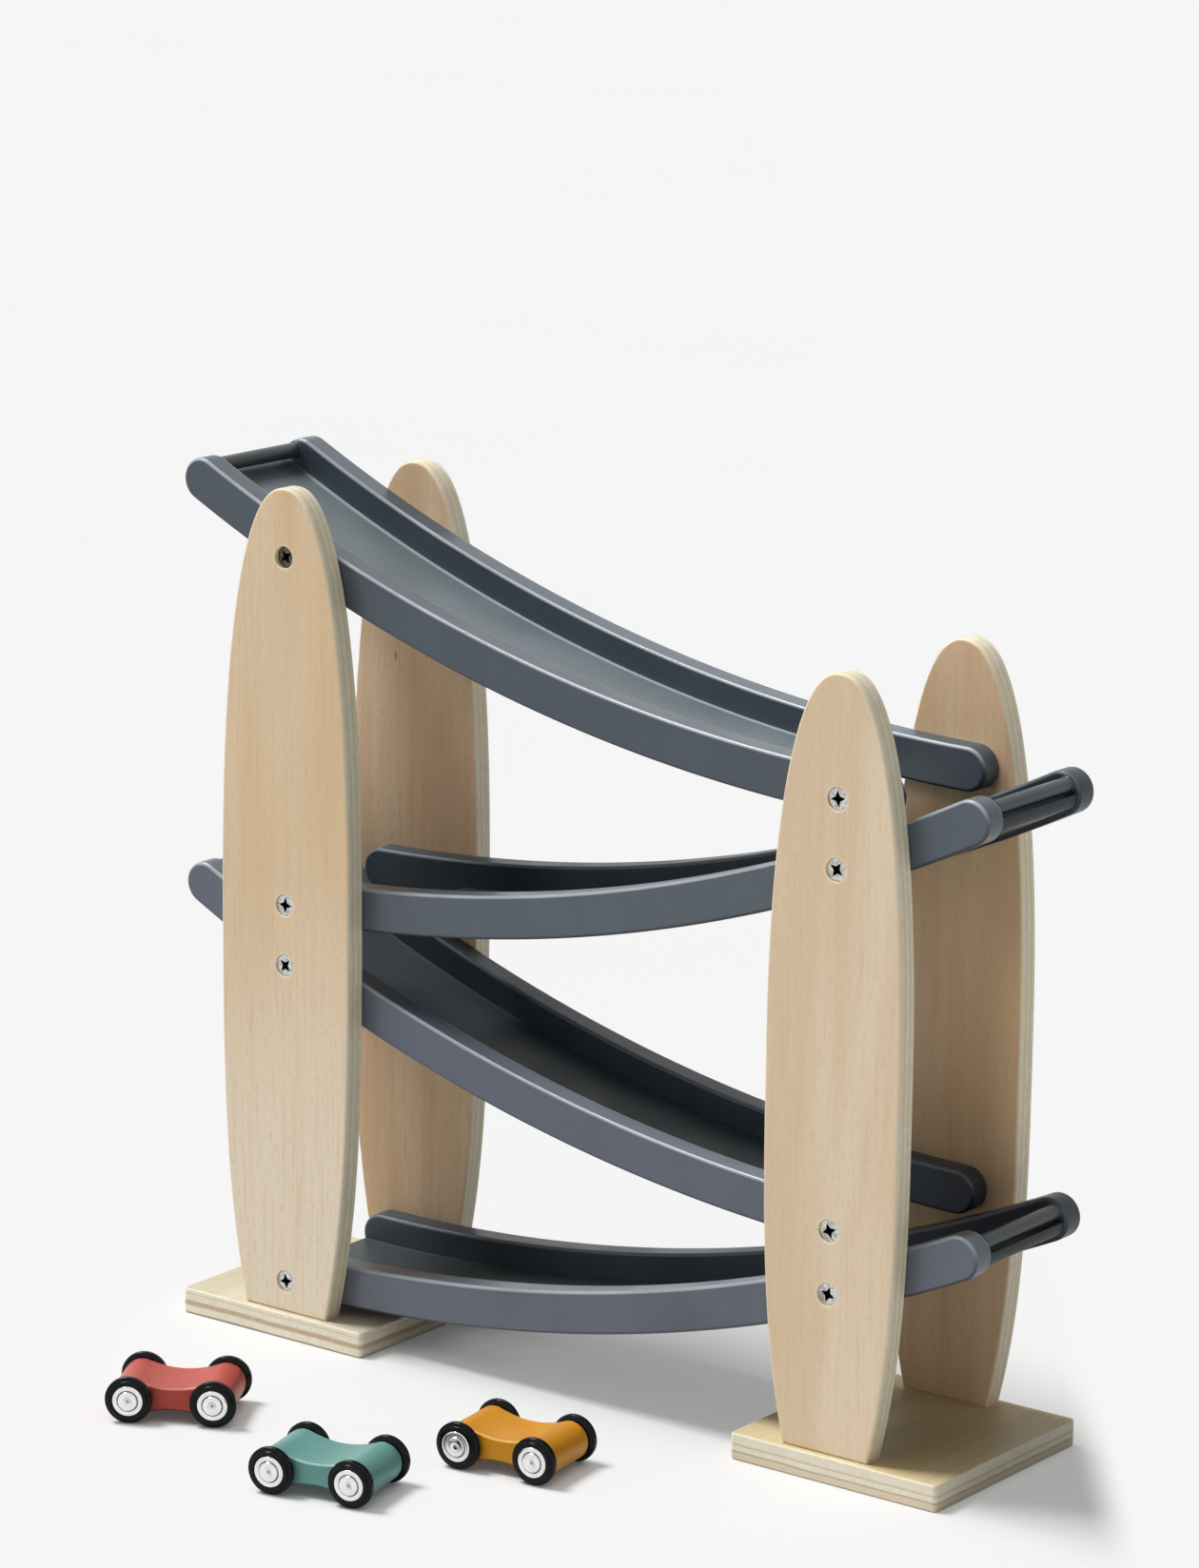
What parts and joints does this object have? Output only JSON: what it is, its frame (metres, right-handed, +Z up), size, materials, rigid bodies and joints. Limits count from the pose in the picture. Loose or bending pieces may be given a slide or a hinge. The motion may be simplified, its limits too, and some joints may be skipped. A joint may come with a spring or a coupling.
{
  "type": "click clack track toy",
  "caption": "Free-standing wooden car run: curved grey tracks zig-zag down between board-shaped posts, with drop gaps at their lower ends, and small dog-bone cars with black wheels",
  "frame": {"origin": "On the table, at the middle of the footprint of the whole set: the stand and the three cars in front of it.", "axes": "X runs along the tracks to the viewer's right, Y runs from the cars to the back of the stand, Z is up."},
  "size_m": [0.3104, 0.1916, 0.2841],
  "materials": {
    "plain_wood": "clear matt lacquer over pale plywood",
    "grey_paint": "satin slate grey paint over wood",
    "red_paint": "satin red paint over wood",
    "teal_paint": "satin teal paint over wood",
    "mustard_paint": "satin mustard paint over wood",
    "black_plastic": "glossy moulded",
    "chrome": "bright plated",
    "steel": "zinc plated"
  },
  "bodies": {
    "stand": {"base_screws": "steel", "exit_track_floor": "grey_paint", "exit_track_front_rail": "grey_paint", "exit_track_rear_rail": "grey_paint", "exit_track_stop": "grey_paint", "front_left_post": "plain_wood", "front_right_post": "plain_wood", "left_base": "plain_wood", "rail_screws": "steel", "rear_left_post": "plain_wood", "rear_right_post": "plain_wood", "right_base": "plain_wood", "second_track_floor": "grey_paint", "second_track_front_rail": "grey_paint", "second_track_rear_rail": "grey_paint", "second_track_stop": "grey_paint", "third_track_floor": "grey_paint", "third_track_front_rail": "grey_paint", "third_track_rear_rail": "grey_paint", "third_track_stop": "grey_paint", "top_track_floor": "grey_paint", "top_track_front_rail": "grey_paint", "top_track_rear_rail": "grey_paint", "top_track_stop": "grey_paint"},
    "red_car": {"red_car_body": "red_paint"},
    "red_car_front_wheels": {"red_car_front_axle": "steel", "red_car_front_left_hub_cap": "chrome", "red_car_front_left_wheel": "black_plastic", "red_car_front_right_hub_cap": "chrome", "red_car_front_right_wheel": "black_plastic"},
    "red_car_rear_wheels": {"red_car_rear_axle": "steel", "red_car_rear_left_hub_cap": "chrome", "red_car_rear_left_wheel": "black_plastic", "red_car_rear_right_hub_cap": "chrome", "red_car_rear_right_wheel": "black_plastic"},
    "teal_car": {"teal_car_body": "teal_paint"},
    "teal_car_front_wheels": {"teal_car_front_axle": "steel", "teal_car_front_left_hub_cap": "chrome", "teal_car_front_left_wheel": "black_plastic", "teal_car_front_right_hub_cap": "chrome", "teal_car_front_right_wheel": "black_plastic"},
    "teal_car_rear_wheels": {"teal_car_rear_axle": "steel", "teal_car_rear_left_hub_cap": "chrome", "teal_car_rear_left_wheel": "black_plastic", "teal_car_rear_right_hub_cap": "chrome", "teal_car_rear_right_wheel": "black_plastic"},
    "mustard_car": {"mustard_car_body": "mustard_paint"},
    "mustard_car_front_wheels": {"mustard_car_front_axle": "steel", "mustard_car_front_left_hub_cap": "chrome", "mustard_car_front_left_wheel": "black_plastic", "mustard_car_front_right_hub_cap": "chrome", "mustard_car_front_right_wheel": "black_plastic"},
    "mustard_car_rear_wheels": {"mustard_car_rear_axle": "steel", "mustard_car_rear_left_hub_cap": "chrome", "mustard_car_rear_left_wheel": "black_plastic", "mustard_car_rear_right_hub_cap": "chrome", "mustard_car_rear_right_wheel": "black_plastic"}
  },
  "joints": [
    {"name": "red_car_roll", "type": "slide", "parent": "stand", "child": "red_car", "axis": [0.8686, 0.4955, 0], "range_m": [-0.06, 0.03]},
    {"name": "red_car_front_axle_spin", "type": "hinge", "parent": "red_car", "child": "red_car_front_wheels", "pos_m": [-0.07376, -0.04886, 0.00745], "axis": [-0.4955, 0.8686, 0], "continuous": true},
    {"name": "red_car_rear_axle_spin", "type": "hinge", "parent": "red_car", "child": "red_car_rear_wheels", "pos_m": [-0.09704, -0.06214, 0.00745], "axis": [-0.4955, 0.8686, 0], "continuous": true},
    {"name": "teal_car_roll", "type": "slide", "parent": "stand", "child": "teal_car", "axis": [0.9748, 0.2233, 0], "range_m": [-0.03, 0.05]},
    {"name": "teal_car_front_axle_spin", "type": "hinge", "parent": "teal_car", "child": "teal_car_front_wheels", "pos_m": [0.00786, -0.07491, 0.00745], "axis": [-0.2233, 0.9748, 0], "continuous": true},
    {"name": "teal_car_rear_axle_spin", "type": "hinge", "parent": "teal_car", "child": "teal_car_rear_wheels", "pos_m": [-0.01826, -0.08089, 0.00745], "axis": [-0.2233, 0.9748, 0], "continuous": true},
    {"name": "mustard_car_roll", "type": "slide", "parent": "stand", "child": "mustard_car", "axis": [0.9912, 0.1323, 0], "range_m": [-0.02, 0.06]},
    {"name": "mustard_car_front_axle_spin", "type": "hinge", "parent": "mustard_car", "child": "mustard_car_front_wheels", "pos_m": [0.03938, -0.02483, 0.00745], "axis": [-0.1323, 0.9912, 0], "continuous": true},
    {"name": "mustard_car_rear_axle_spin", "type": "hinge", "parent": "mustard_car", "child": "mustard_car_rear_wheels", "pos_m": [0.01282, -0.02837, 0.00745], "axis": [-0.1323, 0.9912, 0], "continuous": true}
  ]
}
